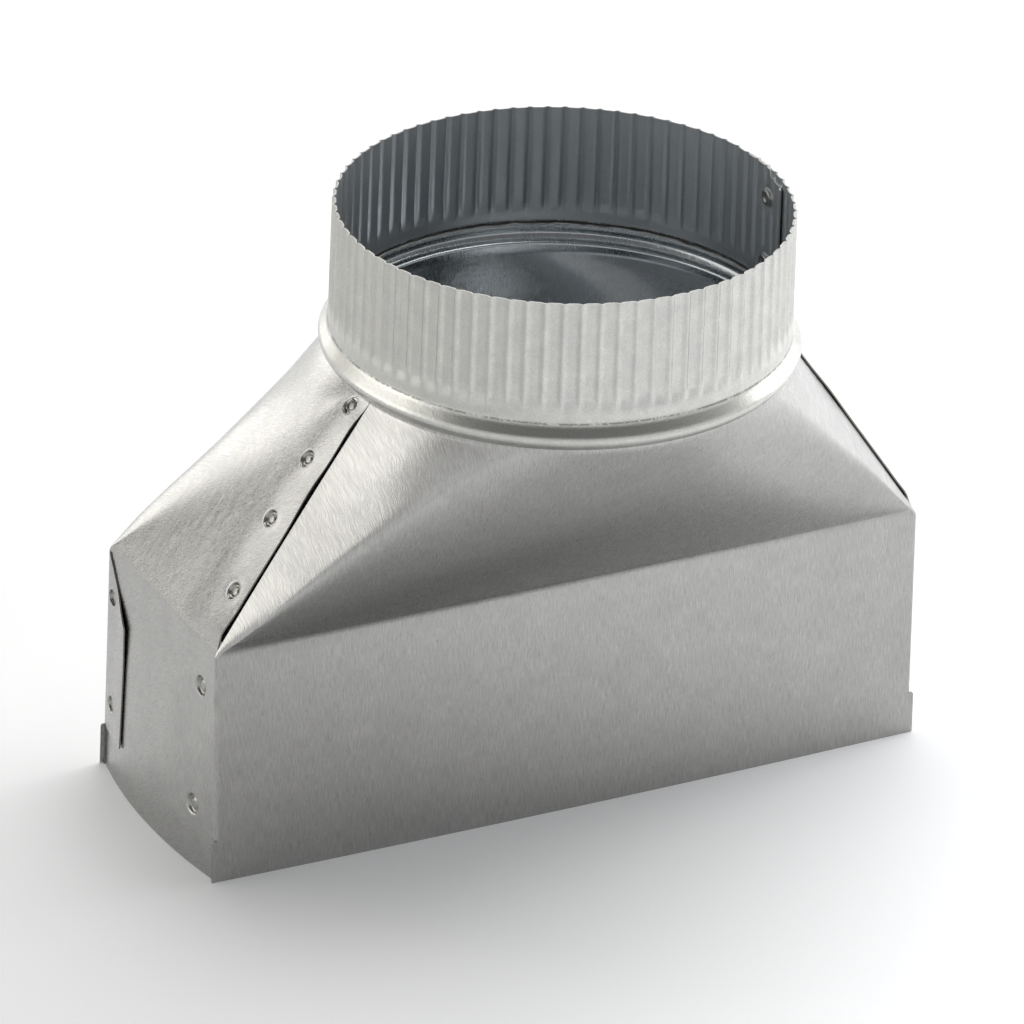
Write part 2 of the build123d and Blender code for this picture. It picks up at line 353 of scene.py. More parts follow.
def fill_hole(bm, verts, edges, flat, outward):
    """Fills a hole with triangles over the given points, laid out flat, that face outward."""
    filled = geometry.delaunay_2d_cdt([Vector(p) for p in flat], edges, [], 1, same_point)
    source = [found[0] for found in filled[3]]
    faces = []
    for triangle in filled[2]:
        face = bm.faces.new([verts[source[i]] for i in triangle])
        face.normal_update()
        if face.normal.dot(outward) < 0:
            face.normal_flip()
        faces.append(face)
    return faces


def press_joint(bm, faces, centre, outward, size=1.0):
    """Punches a round press joint into a sheet: a stepped recess with a raised middle."""
    across = outward.cross(Vector((0, 0, 1))).normalized()
    along = outward.cross(across).normalized()
    corners = each_once(v for f in faces for v in f.verts)
    number = {v: i for i, v in enumerate(corners)}
    tree = BVHTree.FromPolygons([v.co for v in corners], [[number[v] for v in f.verts] for f in faces])
    centre = tree.find_nearest(centre * mm)[0]
    borders = {v for f in faces for e in f.edges if len(e.link_faces) == 1 for v in e.verts}
    room = min((v.co - centre).length for v in borders) / mm / size - joint_wall - joint_clearance
    rings, squeeze = fitted_rings(size, room)
    reach = (rings[0][0] + joint_margin * squeeze) * mm
    near = {v for v in corners if (v.co - centre).length < reach}
    cut = dict.fromkeys(f for f in faces if any(v in near for v in f.verts))
    kept = [f for f in faces if f not in cut]
    cut_edges = each_once(e for f in cut for e in f.edges)
    rim = [e for e in cut_edges if sum(f in cut for f in e.link_faces) == 1]
    ring_verts = []
    for radius, depth in rings:
        for side in range(joint_sides):
            angle = 2 * pi * side / joint_sides
            spot = centre + (across * cos(angle) + along * sin(angle)) * radius * mm
            spot = tree.find_nearest(spot)[0] - outward * depth * mm
            ring_verts.append(bm.verts.new(spot))
    ring_verts.append(bm.verts.new(centre - outward * rings[-1][1] * mm))
    pressed = bm.verts.layers.float["pressed"]
    depths = [depth for _, depth in rings for _ in range(joint_sides)] + [rings[-1][1]]
    for vert, depth in zip(ring_verts, depths):
        vert[pressed] = depth
    rim_verts = each_once(v for e in rim for v in e.verts)
    verts = rim_verts + ring_verts
    number = {v: i for i, v in enumerate(verts)}
    edges = [tuple(number[v] for v in e.verts) for e in rim]
    flat = [((v.co - centre).dot(across) / mm, (v.co - centre).dot(along) / mm) for v in verts]
    for ring in range(len(joint_rings)):
        first = len(rim_verts) + ring * joint_sides
        edges += [(first + i, first + (i + 1) % joint_sides) for i in range(joint_sides)]
    bmesh.ops.delete(bm, geom=list(cut), context="FACES_ONLY")
    return kept + fill_hole(bm, verts, edges, flat, outward)


def map_grain(bm, faces, grain_u, grain_v):
    """Writes the sheet's rolling direction on its faces as a UV map, in metres."""
    layer = bm.loops.layers.uv["grain"]
    for face in faces:
        for loop in face.loops:
            loop[layer].uv = (grain_u(loop.vert.co), grain_v(loop.vert.co))


def add_object(name, data):
    """Puts a mesh, lamp or camera in the scene."""
    added = bpy.data.objects.new(name, data)
    bpy.context.scene.collection.objects.link(added)
    return added


def worked_mesh(draft):
    """Mesh of a draft object with its modifiers worked in; the draft goes away."""
    bpy.context.view_layer.update()
    worked = draft.evaluated_get(bpy.context.evaluated_depsgraph_get())
    mesh = bpy.data.meshes.new_from_object(worked)
    draft.modifiers.clear()
    bpy.data.objects.remove(draft)
    return mesh


def finish_sheet(bm, name, materials):
    """Makes the piece: merges its sheets, lets them wave a little, and gives them their thickness.

    The first material is the outer side, the second the inner side and the third, if any, the cut edge."""
    bmesh.ops.delete(bm, geom=[e for e in bm.edges if not e.link_faces], context="EDGES")
    bmesh.ops.delete(bm, geom=[v for v in bm.verts if not v.link_faces], context="VERTS")
    bmesh.ops.remove_doubles(bm, verts=bm.verts, dist=merge_distance * mm)
    bm.normal_update()
    for vert, normal in [(v, v.normal.copy()) for v in bm.verts]:
        wave = noise.noise(vert.co / (wave_length * mm)) - 1
        vert.co += normal * waviness * mm * wave / 2
    mesh = bpy.data.meshes.new(name)
    bm.to_mesh(mesh)
    bm.free()
    for material in materials:
        mesh.materials.append(material)
    draft = add_object(name + "_draft", mesh)
    wall = draft.modifiers.new("sheet_thickness", "SOLIDIFY")
    wall.thickness = sheet * mm
    wall.offset = -1
    wall.material_offset = 1
    wall.material_offset_rim = 2 if len(materials) > 2 else 0
    solid = worked_mesh(draft)
    solid.name = name
    for vertex in solid.vertices:
        vertex.co.z = max(0, vertex.co.z)
    solid.shade_smooth()
    solid.set_sharp_from_angle(angle=radians(sharp_angle))
    return add_object(name, solid)


def corner_ear(bm, side_x, side_y):
    """Small ear that carries on past the corner, in line with the front or back wall."""
    outer = half_length + lap + ear_width
    inner = half_length + lap - fold_radius
    tops = [(inner, ear_height), (outer - ear_chamfer, ear_height), (outer, ear_height - ear_chamfer)]
    lines = []
    for x, top in tops:
        lines.append([Vector((side_x * x, side_y * wall_half(z), z)) for z in spaced(0, top, ear_rows)])
    if side_x * side_y > 0:
        lines.reverse()
    return lay(bm, lines)


flange_shares = [0, 0.03, 0.08] + spaced(0.16, 0.9, 9) + [0.955, 0.98, 1]


def wrap_lines(side_x, side_y, width, drop, stand_off, low_share):
    """Lines up a flange that lies on an end wall, from its free edge to the corner fold.

    The edge stands off the wall at the top, and by a share of that at the foot."""
    edge_y = shoulder_half - width
    top_y = shoulder_half - fold_radius
    lines = []
    for share in flange_shares:
        y_at_top = edge_y + (top_y - edge_y) * share
        top = wall_height - flange_gap - drop * (top_y - y_at_top) / (top_y - edge_y)
        if share == 1:
            top = wall_height - shoulder_bend
        line = []
        for z in spaced(0 if share == 1 else ear_height, top, wall_rows):
            y = edge_y + (wall_half(z) - fold_radius - edge_y) * share
            taper = low_share + (1 - low_share) * soft_step(z, stand_off_foot, wall_height)
            lift = stand_off * taper * (1 - soft_step(share, 0, flange_flat_share))
            line.append(bowed(side_x * (half_length + lap + lift), side_y * y, z))
        lines.append(line)
    return lines


def wall_lines(places):
    """Lines up the straight walls, to where the shoulder starts to bend."""
    heights = spaced(0, wall_height - shoulder_bend, wall_rows)
    return [[place(z) for z in heights] for place in places]


def long_wall(bm, side_y):
    """Lays the front or back wall with the two corner folds that turn onto the end walls."""
    start = side_y * (half_length - fold_radius)
    places = [fold_place(side_y, side_y, t, lap) for t in spaced(0, 1, corner_steps)]
    places += [long_wall_place(x, side_y) for x in spaced(start, -start, long_steps)]
    places += [fold_place(-side_y, side_y, 1 - t, lap) for t in spaced(0, 1, corner_steps)]
    return lay(bm, wall_lines(places))


def ordered(lines, backwards):
    """Lines in the order that turns the sheet's face outwards."""
    return lines[::-1] if backwards else lines


def front_grain_u(p):
    """Grain across the front panel, which follows the flanges round onto the end walls."""
    past_corner = max(0, p.y + shoulder_half * mm)
    return p.x - past_corner * (1 if p.x > 0 else -1)


front = new_sheet()
front_walls = long_wall(front, -1)
for side in (-1, 1):
    flange = wrap_lines(side, -1, front_flange, flange_drop, flange_stand_off, low_share=1)
    wrap = lay(front, ordered(flange, side > 0))
    for y, z in flange_joints:
        spot = bowed(side * (half_length + lap), y, z)
        wrap = press_joint(front, wrap, spot, Vector((side, 0, 0)), wide_joint)
    front_walls += wrap
    front_walls += corner_ear(front, side, -1)
map_grain(front, front_walls, front_grain_u, lambda p: p.z)

right_crease = 540 - crease_angle
front_lines = corner_lines(-1, -1, seam_angle, crease_angle)
front_lines += long_lines(-1, crease_angle, right_crease)[1:]
front_lines += corner_lines(1, -1, right_crease, 540 - seam_angle)[1:]
front_lines = ease_creases(front_lines, crease_passes)
front_bent = lay(front, front_lines)
for side in (-1, 1):
    seam_line = front_lines[0] if side < 0 else front_lines[-1]
    rows = [p for p in seam_line if strip_start < p.z < neck_height - lap]
    strip = [rows]
    flat_sinks = [(d, lap) for d in spaced(strip_flat_from, strip_width, strip_steps)]
    for distance, sink in strip_sinks + flat_sinks:
        line = []
        for p in rows:
            rise = slope_rise(p.z)
            line.append(slope_point(side, distance / slope_width(rise), rise, -sink))
        strip.append(line)
    under = lay(front, ordered(strip, side < 0))
    for y, z in slope_joints:
        under = press_joint(front, under, slope_joint_spot(side, y, z, -lap), slope_outward(side))
    front_bent += under
map_grain(front, front_bent, lambda p: p.x, lambda p: p.z * front_slope_stretch)


def link(tree, value, socket):
    """Feeds a socket from another socket, or sets it to a plain value."""
    if isinstance(value, bpy.types.NodeSocket):
        tree.links.new(value, socket)
    else:
        socket.default_value = value


def maths(tree, operation, *values):
    """Adds a Math node and returns its result."""
    node = tree.nodes.new("ShaderNodeMath")
    node.operation = operation
    for value, socket in zip(values, node.inputs):
        link(tree, value, socket)
    return node.outputs[0]


def vector_maths(tree, operation, vector, other=None, scale=None):
    """Adds a Vector Math node."""
    node = tree.nodes.new("ShaderNodeVectorMath")
    node.operation = operation
    tree.links.new(vector, node.inputs[0])
    if other is not None:
        node.inputs[1].default_value = other
    if scale is not None:
        link(tree, scale, node.inputs["Scale"])
    return node


def parts_of(tree, vector):
    """Adds a Separate XYZ node and returns its three results."""
    node = tree.nodes.new("ShaderNodeSeparateXYZ")
    tree.links.new(vector, node.inputs[0])
    return node.outputs


def ramp(tree, value, low, high, low_result=0.0, high_result=1.0):
    """Adds a Map Range node that goes softly from one result to another."""
    node = tree.nodes.new("ShaderNodeMapRange")
    node.interpolation_type = "SMOOTHSTEP"
    link(tree, value, node.inputs["Value"])
    link(tree, low, node.inputs["From Min"])
    link(tree, high, node.inputs["From Max"])
    link(tree, low_result, node.inputs["To Min"])
    link(tree, high_result, node.inputs["To Max"])
    return node.outputs["Result"]


def noise_of(tree, vector, scale, detail, distortion=0.0):
    """Adds a Noise Texture and returns its value."""
    node = tree.nodes.new("ShaderNodeTexNoise")
    node.inputs["Scale"].default_value = scale
    node.inputs["Detail"].default_value = detail
    node.inputs["Distortion"].default_value = distortion
    tree.links.new(vector, node.inputs["Vector"])
    return node.outputs["Fac"]


def group_tree(name, inputs, outputs):
    """Starts a shader node group with named inputs and outputs."""
    tree = bpy.data.node_groups.new(name, "ShaderNodeTree")
    for label, kind, default in inputs:
        socket = tree.interface.new_socket(label, in_out="INPUT", socket_type=kind)
        if default is not None:
            socket.default_value = default
    for label, kind in outputs:
        tree.interface.new_socket(label, in_out="OUTPUT", socket_type=kind)
    return tree, tree.nodes.new("NodeGroupInput"), tree.nodes.new("NodeGroupOutput")


streak_width = 0.00034
streak_length = 0.0042
streak_waver = 0.002
waver_scale = 230
fine_streaks = 2.1
streak_stretch = 0.8
streak_edges = (0.34, 0.66)


def rolled_grain():
    """Fine wavy streaks that the rolling mill leaves in the zinc, along the map's V."""
    tree, given, result = group_tree(
        "rolled_grain",
        [
            ("Vector", "NodeSocketVector", None),
            ("Streak Width", "NodeSocketFloat", streak_width),
            ("Streak Length", "NodeSocketFloat", streak_length),
            ("Waver", "NodeSocketFloat", streak_waver),
        ],
        [("Streaks", "NodeSocketFloat"), ("Fine", "NodeSocketFloat")],
    )
    wander = noise_of(tree, given.outputs["Vector"], waver_scale, detail=1)
    shift = maths(tree, "SUBTRACT", wander, 0.5)
    shift = maths(tree, "MULTIPLY", shift, given.outputs["Waver"])
    u, v, _ = parts_of(tree, given.outputs["Vector"])
    across = maths(tree, "DIVIDE", maths(tree, "ADD", u, shift), given.outputs["Streak Width"])
    along = maths(tree, "DIVIDE", v, given.outputs["Streak Length"])
    for label, fineness in (("Streaks", 1.0), ("Fine", fine_streaks)):
        place = tree.nodes.new("ShaderNodeCombineXYZ")
        link(tree, maths(tree, "MULTIPLY", across, fineness), place.inputs[0])
        link(tree, maths(tree, "MULTIPLY", along, fineness * streak_stretch), place.inputs[1])
        streaks = noise_of(tree, place.outputs[0], scale=1.0, detail=2)
        link(tree, ramp(tree, streaks, *streak_edges), result.inputs[label])
    return tree


cloud_size = 0.012
cloud_edges = (0.3, 0.7)
cloud_swirl = 0.4
mottle_fineness = 9.0
mottle_edges = (0.32, 0.68)


def zinc_mottle():
    """Soft clouds and a fine mottle in the zinc coat."""
    tree, given, result = group_tree(
        "zinc_mottle",
        [("Vector", "NodeSocketVector", None), ("Cloud Size", "NodeSocketFloat", cloud_size)],
        [("Clouds", "NodeSocketFloat"), ("Mottle", "NodeSocketFloat")],
    )
    fineness = maths(tree, "DIVIDE", 1.0, given.outputs["Cloud Size"])
    scaled = vector_maths(tree, "SCALE", given.outputs["Vector"], scale=fineness)
    clouds = noise_of(tree, scaled.outputs[0], scale=1.0, detail=4, distortion=cloud_swirl)
    link(tree, ramp(tree, clouds, *cloud_edges), result.inputs["Clouds"])
    fine = noise_of(tree, scaled.outputs[0], mottle_fineness, detail=3)
    link(tree, ramp(tree, fine, *mottle_edges), result.inputs["Mottle"])
    return tree


def start_material(name):
    """New material, with its node tree and its Principled shader."""
    material = bpy.data.materials.new(name)
    material.use_nodes = True
    return material, material.node_tree, material.node_tree.nodes["Principled BSDF"]


def place_group(tree, group, **values):
    """Places a shader group and feeds its named inputs."""
    node = tree.nodes.new("ShaderNodeGroup")
    node.node_tree = group
    for label, value in values.items():
        link(tree, value, node.inputs[label.replace("_", " ")])
    return node


def recess_shade_mask(tree, strength):
    """Mask of painted shade in the press joints' recesses, fuller where the sheet is pressed deeper."""
    pressed = tree.nodes.new("ShaderNodeAttribute")
    pressed.attribute_name = "pressed"
    return ramp(tree, pressed.outputs["Fac"], *recess_shade_depths, 0.0, strength)


def add_relief(tree, shader, heights, strength, depth):
    """Gives a material a fine relief, depth metres deep."""
    relief = tree.nodes.new("ShaderNodeBump")
    relief.inputs["Strength"].default_value = strength
    relief.inputs["Distance"].default_value = depth
    link(tree, heights, relief.inputs["Height"])
    tree.links.new(relief.outputs["Normal"], shader.inputs["Normal"])


def blend_colour(tree, factor, low, high):
    """Mixes two colours by a mask."""
    node = tree.nodes.new("ShaderNodeMix")
    node.data_type = "RGBA"
    link(tree, factor, node.inputs["Factor"])
    link(tree, low, node.inputs["A"])
    link(tree, high, node.inputs["B"])
    return node.outputs["Result"]


grain_group = rolled_grain()
mottle_group = zinc_mottle()
# How deep the sheet is pressed where the painted shade of the press joints starts and where it is full.
recess_shade_depths = (0.12, 0.8)
bright_zinc = (0.43, 0.426, 0.415, 1)
grey_zinc = (0.403, 0.4, 0.392, 1)
streak_zinc = (0.268, 0.265, 0.259, 1)
# Painted shade: the press joints' recesses are darkened by how deep they are pressed.
recess_shade = (0.3, 0.295, 0.27, 1)
# The inner side is the same zinc with painted light: lighter and bluer than the outer side, a painted
# reflection of the sky inside the shaded part.
inner_bright_painted_sky = (0.58, 0.603, 0.617, 1)
inner_grey_painted_sky = (0.533, 0.558, 0.573, 1)
inner_streak_painted_sky = (0.38, 0.405, 0.42, 1)
cut_steel = (0.3, 0.288, 0.265, 1)
outer_matt = 0.235
inner_matt = 0.2
streak_share = 0.42
recess_shade_share = 0.85
cloud_gloss = -0.03
streak_gloss = 0.09
streak_relief = 0.000026
fine_relief_share = 0.45


def sheet_zinc(name, bright, grey, streak, matt):
    """Galvanised sheet with the mill's streaks, faint clouds and painted shade in the press joints'
    recesses.
    """
    material, tree, shader = start_material(name)
    grain_map = tree.nodes.new("ShaderNodeUVMap")
    grain_map.uv_map = "grain"
    place = tree.nodes.new("ShaderNodeTexCoord")
    grain = place_group(tree, grain_group, Vector=grain_map.outputs["UV"])
    mottle = place_group(tree, mottle_group, Vector=place.outputs["Object"])
    tint = blend_colour(tree, mottle.outputs["Clouds"], grey, bright)
    streaks, fine = grain.outputs["Streaks"], grain.outputs["Fine"]
    streaked = blend_colour(tree, maths(tree, "MULTIPLY", streaks, streak_share), tint, streak)
    # Painted shade in the press joints' recesses.
    shaded = blend_colour(tree, recess_shade_mask(tree, recess_shade_share), streaked, recess_shade)
    link(tree, shaded, shader.inputs["Base Color"])
    shader.inputs["Metallic"].default_value = 1.0
    gloss = maths(tree, "MULTIPLY_ADD", mottle.outputs["Clouds"], cloud_gloss, matt)
    gloss = maths(tree, "MULTIPLY_ADD", fine, streak_gloss, gloss)
    link(tree, gloss, shader.inputs["Roughness"])
    heights = maths(tree, "MULTIPLY_ADD", fine, fine_relief_share, streaks)
    add_relief(tree, shader, heights, strength=0.5, depth=streak_relief)
    return material


body_zinc = sheet_zinc("bright_galvanised_sheet", bright_zinc, grey_zinc, streak_zinc, outer_matt)
inner_painted_sky_zinc = sheet_zinc(
    "sheet_inner_side_painted_sky", inner_bright_painted_sky, inner_grey_painted_sky, inner_streak_painted_sky, inner_matt
)
cut_edge_steel, tree, shader = start_material("cut_edge_steel")
shader.inputs["Base Color"].default_value = cut_steel
shader.inputs["Metallic"].default_value = 1.0
shader.inputs["Roughness"].default_value = 0.5

front_panel = finish_sheet(front, "front_panel_sheet", [body_zinc, inner_painted_sky_zinc, cut_edge_steel])
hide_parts("front_panel")
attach(front_panel, "root")

# Rear wrap: one sheet of the same steel. It is the back wall, both end walls and
# end slopes and the rear half of the transition and neck. The back wall's corner
# tabs lie on the end walls, and press joints hold the laps.
back_tab = 16.5
tab_drop = 21.0
tab_stand_off = 1.3
tab_low_share = 0.25
tab_joints = [(37.6, 65.5), (36.8, 26.0)]
slope_grain_turn = 50.0
back_crease = 48.0
seam_openings = [
    (0, 0.8),
    (0.06, 1.1),
    (0.17, 0.6),
    (0.46, 0.45),
    (0.64, 0.9),
    (0.77, 0.45),
    (0.88, 0.6),
    (1, 0.3),
]
seam_lift = 0.7
seam_reach = 7.0
seam_start = 3.0
lap_lift = 0.7
lap_edge = (13.0, 30.0)
lift_foot = (0.01, 0.08)
lift_top = (0.9, 0.99)
lift_x, lift_z = 0.82, 0.57
slope_ease = (8, 26)
rear_passes = 90
end_steps = 32
end_facing = 0.7
back_stretch = 1.1

rear = new_sheet()
rear_walls = long_wall(rear, 1)
for side in (-1, 1):
    tab = wrap_lines(side, 1, back_tab, tab_drop, tab_stand_off, tab_low_share)
    wrap = lay(rear, ordered(tab, side < 0))
    for y, z in tab_joints:
        spot = bowed(side * (half_length + lap), y, z)
        wrap = press_joint(rear, wrap, spot, Vector((side, 0, 0)))
    rear_walls += wrap
    rear_walls += corner_ear(rear, side, 1)
    end_places = [end_wall_place(side, share) for share in spaced(-1, 1, end_steps)]
    end_wall = lay(rear, ordered(wall_lines(end_places), side < 0))
    for y, z in flange_joints + tab_joints:
        size = wide_joint if y < 0 else 1.0
        spot = bowed(side * half_length, y, z)
        end_wall = press_joint(rear, end_wall, spot, Vector((side, 0, 0)), size)
    rear_walls += end_wall


def seam_opening(rise):
    """How far the end slope's edge stands back from the front panel along the seam."""
    for (low, opening), (high, next_opening) in zip(seam_openings, seam_openings[1:]):
        if rise <= high:
            return opening + (next_opening - opening) * soft_step(rise, low, high)
    return seam_openings[-1][1]


def end_slope_lines(side):
    """Lines up an end slope, from its seam edge, which stands off a little, to the fold behind."""
    lines = []
    for back in spaced(0, 1, end_steps):
        angle = 180 + (seam_angle - 180) * (1 - back)
        place = end_wall_place(-1, 2 * back - 1)
        line = []
        for p in sheet_line(place, place, angle, slope_crowning(back)):
            rise = min(1, max(0, slope_rise(p.z)))
            behind = back * slope_width(rise)
            away = exp(-behind / seam_reach)
            shift = seam_opening(rise) * away
            shift *= soft_step(p.z, wall_height, wall_height + seam_start)
            over_lap = lap_lift * (1 - soft_step(behind, *lap_edge))
            fade = soft_step(rise, *lift_foot) * (1 - soft_step(rise, *lift_top))
            lift = (seam_lift * seam_opening(rise) * away + over_lap) * fade
            line.append(Vector((p.x - lift * lift_x, p.y + shift, p.z + lift * lift_z)))
        lines.append([Vector((-side * q.x, q.y, q.z)) for q in line])
    return lines


rear_lines = end_slope_lines(1) + corner_lines(1, 1, 0, back_crease)[1:]
rear_lines += long_lines(1, back_crease, 180 - back_crease)[1:]
rear_lines += corner_lines(-1, 1, 180 - back_crease, 180)[1:]
rear_lines += end_slope_lines(-1)[::-1][1:]
eased_lines = ease_creases(rear_lines, rear_passes)
for number, (crisp, eased) in enumerate(zip(rear_lines, eased_lines)):
    share = soft_step(min(number, len(rear_lines) - 1 - number), *slope_ease)
    rear_lines[number] = [point.lerp(soft, share) for point, soft in zip(crisp, eased)]
rear_bent = lay(rear, rear_lines)
for side in (-1, 1):
    for y, z in slope_joints:
        spot = slope_joint_spot(side, y, z, 0)
        rear_bent = press_joint(rear, rear_bent, spot, slope_outward(side))


def map_rear(bm, faces):
    """Grain of the rear wrap: upright on the back, and turned on the ends, which fan round the corners."""
    turn = radians(slope_grain_turn)
    bm.normal_update()
    for face in faces:
        if abs(face.normal.x) > end_facing:
            side = 1 if face.normal.x > 0 else -1
            uphill = (Vector((0, 0, 1)) - face.normal * face.normal.z).normalized()
            level = Vector((0, 1, 0))
            grain_v = uphill * cos(turn) - level * sin(turn)
            grain_u = uphill * sin(turn) + level * cos(turn)
            map_grain(bm, [face], lambda p: p.dot(grain_u) + side, lambda p: p.dot(grain_v))
        else:
            map_grain(bm, [face], lambda p: p.x, lambda p: p.z * back_stretch)


map_rear(rear, rear_walls + rear_bent)
rear_wrap = finish_sheet(rear, "rear_wrap_sheet", [body_zinc, inner_painted_sky_zinc, cut_edge_steel])
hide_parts("rear_wrap")
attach(rear_wrap, "root")

# Collar: one strip of duller galvanised sheet, rolled to a ring and lapped near +X.
# Its lower edge is rolled over the neck as a bead, a smooth band follows, and the
# rest is crimped so that it slips into the next duct.
collar_foot = 163.0
collar_foot_radius = 76.7
bead_radius = 79.9
bead_bend = 2.6
bead_steps = 8
band_radius = 75.9
band_foot = 171.6
band_bend = 1.4
collar_steps = 4
crimp_foot = 174.6
crimp_start = 0.13
crimp_start_steps = 6
crimp_rise_steps = 12
rim_radius = 75.5
rim_height = collar_high.z / mm
crimp_count = 80
crimp_depth = 1.0
crimp_fade = 6.0
crimp_unevenness = 0.35
crimp_wander = 0.05
crimp_wave = 7
crimp_parts = 12
ridge_foot = 0.27
ridge_crest = 0.01
lap_start = -11.0
lap_end = 8.0
lap_tail = 8.0
lap_spring = 0.5
lap_spring_width = 4.0
lap_cut_end = -2.6
lap_cut = 2.6
lap_cut_bend = 0.4
lap_cut_reach = 8.0
lap_foot = 172.3
lap_foot_rise = 2.0
seam_hair = 1e-6
lap_joint_angle = -1.5
lap_joint_heights = [203.2, 179.7]
joint_pad = (3.4, 5.6)
joint_pad_sink = 0.4


def collar_profile():
    """Radius and height up the outside of the collar, from the bead's lower edge to the rim."""
    edge = Vector((collar_foot_radius, 0, collar_foot))
    crest = Vector((bead_radius, 0, bead_height))
    root = Vector((band_radius, 0, band_foot))
    under = crest + (edge - crest).normalized() * bead_bend
    over = crest + (root - crest).normalized() * bead_bend
    before = root + (crest - root).normalized() * band_bend
    after = root + Vector((0, 0, band_bend))
    foot = Vector((band_radius, 0, crimp_foot))
    rim = Vector((rim_radius, 0, rim_height))
    points = [edge, edge.lerp(under, 0.5)] + bend(under, crest, over, bead_steps)
    points += bend(before, root, after, collar_steps)
    points += [after.lerp(foot, t) for t in spaced(0, 1, collar_steps)[1:]]
    points += [foot.lerp(rim, t) for t in spaced(0, crimp_start, crimp_start_steps)[1:]]
    points += [foot.lerp(rim, t) for t in spaced(crimp_start, 1, crimp_rise_steps)[1:]]
    return [(p.x, p.z) for p in points]


def collar_line(angle, profile):
    """Points up the collar at an angle counted along the strip, which starts under its own end."""
    points = []
    inside = angle < lap_end
    for radius, z in profile:
        if inside and z < lap_foot:
            continue
        tuck = lap * (1 - soft_step(angle, lap_end, lap_end + lap_tail))
        tuck *= soft_step(z, band_foot, lap_foot + lap_foot_rise)
        cut = 0
        if inside:
            sprung = 1 - soft_step(angle, lap_start, lap_start + lap_spring_width)
            tuck = lap + lap_spring * sprung
            cut = lap_cut * soft_step(lap_cut_end - angle, 0, lap_cut_bend)
            cut *= soft_step(z, rim_height - lap_cut_reach, rim_height)
        points.append(neck_point(angle, radius - tuck, z - cut))
    return points


profile = collar_profile()
step = 360 / crimp_count / crimp_parts
inner_steps = round((lap_end - lap_start) / step)
outer_steps = round(360 / step)
collar_mesh = new_sheet()
inner_angles = spaced(lap_start, lap_end, inner_steps)
outer_angles = spaced(lap_end, lap_end + 360, outer_steps)
inner_end = lay(collar_mesh, [collar_line(a - seam_hair, profile) for a in inner_angles])
full_turn = lay(collar_mesh, [collar_line(a + seam_hair, profile) for a in outer_angles])


def crimping_tool():
    """Geometry Nodes that press evenly spaced grooves into a round strip and leave ridges between them."""
    tree = bpy.data.node_groups.new("collar_crimps", "GeometryNodeTree")
    tree.interface.new_socket("Geometry", in_out="INPUT", socket_type="NodeSocketGeometry")
    for label, default in (
        ("Count", crimp_count),
        ("Depth", crimp_depth * mm),
        ("Foot Height", crimp_foot * mm),
        ("Fade", crimp_fade * mm),
        ("Ridge Foot", ridge_foot),
        ("Ridge Crest", ridge_crest),
        ("Axis Y", neck_y * mm),
        ("Unevenness", crimp_unevenness),
    ):
        socket = tree.interface.new_socket(label, in_out="INPUT", socket_type="NodeSocketFloat")
        socket.default_value = default
    tree.interface.new_socket("Material", in_out="INPUT", socket_type="NodeSocketMaterial")
    tree.interface.new_socket("Geometry", in_out="OUTPUT", socket_type="NodeSocketGeometry")
    given = tree.nodes.new("NodeGroupInput")
    result = tree.nodes.new("NodeGroupOutput")
    x, y, z = parts_of(tree, tree.nodes.new("GeometryNodeInputPosition").outputs[0])
    y = maths(tree, "SUBTRACT", y, given.outputs["Axis Y"])
    turns = maths(tree, "DIVIDE", maths(tree, "ARCTAN2", y, x), 2 * pi)
    crimps = maths(tree, "ADD", maths(tree, "MULTIPLY", turns, given.outputs["Count"]), 0.5)
    number = maths(tree, "FLOOR", crimps)
    uneven = tree.nodes.new("ShaderNodeTexWhiteNoise")
    uneven.noise_dimensions = "1D"
    link(tree, number, uneven.inputs["W"])
    wander = maths(tree, "SUBTRACT", uneven.outputs["Value"], 0.5)
    wander = maths(tree, "MULTIPLY", wander, crimp_wander)
    offset = maths(tree, "SUBTRACT", maths(tree, "FRACT", crimps), 0.5)
    offset = maths(tree, "ABSOLUTE", maths(tree, "ADD", offset, wander))
    groove = ramp(tree, offset, given.outputs["Ridge Crest"], given.outputs["Ridge Foot"])
    top = maths(tree, "ADD", given.outputs["Foot Height"], given.outputs["Fade"])
    rise = ramp(tree, z, given.outputs["Foot Height"], top)
    slow = tree.nodes.new("ShaderNodeTexNoise")
    slow.noise_dimensions = "1D"
    slow.inputs["Scale"].default_value = crimp_wave
    link(tree, turns, slow.inputs["W"])
    slack = maths(tree, "MULTIPLY", slow.outputs["Fac"], given.outputs["Unevenness"])
    depth = maths(tree, "MULTIPLY", given.outputs["Depth"], maths(tree, "SUBTRACT", 1.0, slack))
    depth = maths(tree, "MULTIPLY", depth, maths(tree, "MULTIPLY", groove, rise))
    outward = tree.nodes.new("ShaderNodeCombineXYZ")
    link(tree, x, outward.inputs[0])
    link(tree, y, outward.inputs[1])
    unit = vector_maths(tree, "NORMALIZE", outward.outputs[0])
    press = maths(tree, "MULTIPLY", depth, -1.0)
    inward = vector_maths(tree, "SCALE", unit.outputs[0], scale=press)
    move = tree.nodes.new("GeometryNodeSetPosition")
    tree.links.new(given.outputs["Geometry"], move.inputs["Geometry"])
    tree.links.new(inward.outputs[0], move.inputs["Offset"])
    real = tree.nodes.new("GeometryNodeRealizeInstances")
    tree.links.new(move.outputs[0], real.inputs[0])
    paint = tree.nodes.new("GeometryNodeSetMaterial")
    tree.links.new(real.outputs[0], paint.inputs["Geometry"])
    tree.links.new(given.outputs["Material"], paint.inputs["Material"])
    tree.links.new(paint.outputs[0], result.inputs[0])
    return tree


dull_zinc = (0.565, 0.56, 0.53, 1)
blue_zinc = (0.462, 0.464, 0.447, 1)
